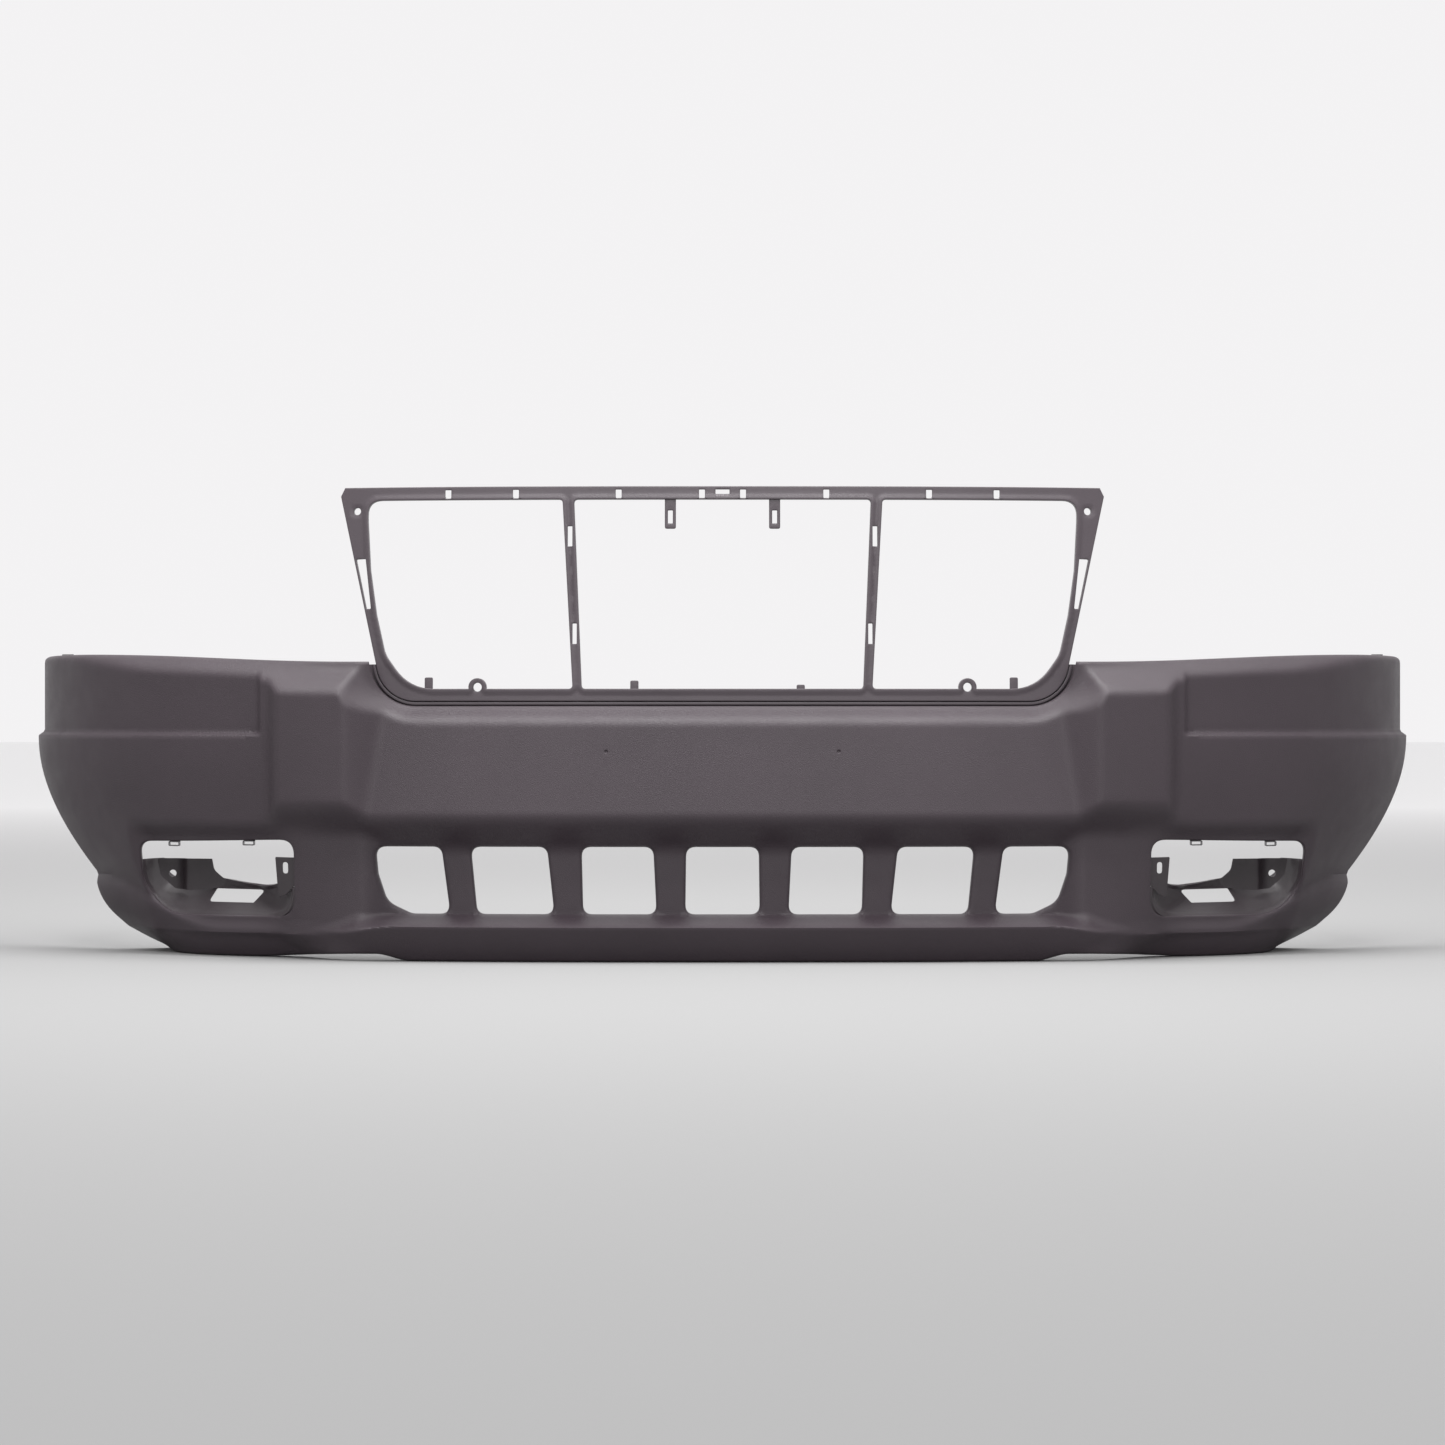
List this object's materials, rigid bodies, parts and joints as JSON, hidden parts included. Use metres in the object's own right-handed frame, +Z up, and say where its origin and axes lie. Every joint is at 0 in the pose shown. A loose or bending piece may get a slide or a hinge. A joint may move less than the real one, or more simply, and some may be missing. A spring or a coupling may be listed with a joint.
{
  "type": "bumper cover",
  "caption": "Moulded front bumper cover with an upright grille frame, a row of lower air slots and recessed fog lamp openings with their moulded pockets and clips.",
  "frame": {"origin": "centre of the footprint of the bounding box, on the floor the lower lip rests on", "axes": "+X to the right for someone facing the cover, -Y its front, +Z up"},
  "size_m": [1.7936, 0.5537, 0.577],
  "materials": {
    "grained_plastic": "fine grained, unpainted",
    "frame_plastic": "satin",
    "pocket_plastic": "satin",
    "black_plastic": "satin",
    "spring_steel": "phosphated",
    "zinc_screw": "dark zinc plated"
  },
  "bodies": {
    "root": {"bumper_skin": "grained_plastic", "grille_frame": "frame_plastic", "frame_screw_1": "zinc_screw", "frame_screw_2": "zinc_screw", "frame_screw_3": "zinc_screw", "frame_screw_4": "zinc_screw", "frame_screw_5": "zinc_screw", "frame_screw_6": "zinc_screw", "frame_screw_7": "zinc_screw", "lamp_pocket_right": "pocket_plastic", "lamp_pocket_left": "pocket_plastic", "lamp_bracket_right": "pocket_plastic", "lamp_bracket_left": "pocket_plastic", "bezel_clip_inner_right": "spring_steel", "bezel_clip_inner_left": "spring_steel", "bezel_clip_outer_right": "spring_steel", "bezel_clip_outer_left": "spring_steel", "pocket_screw_1_right": "zinc_screw", "pocket_screw_1_left": "zinc_screw", "pocket_screw_2_right": "zinc_screw", "pocket_screw_2_left": "zinc_screw", "pocket_screw_3_right": "zinc_screw", "pocket_screw_3_left": "zinc_screw", "bracket_screw_right": "zinc_screw", "bracket_screw_left": "zinc_screw", "wing_retainer_right": "black_plastic", "wing_retainer_left": "black_plastic", "retainer_pin_1_right": "black_plastic", "retainer_pin_1_left": "black_plastic", "retainer_pin_2_right": "black_plastic", "retainer_pin_2_left": "black_plastic", "end_bracket_right": "black_plastic", "end_bracket_left": "black_plastic", "end_bracket_rivet_1_right": "zinc_screw", "end_bracket_rivet_1_left": "zinc_screw", "end_bracket_rivet_2_right": "zinc_screw", "end_bracket_rivet_2_left": "zinc_screw"}
  },
  "joints": []
}
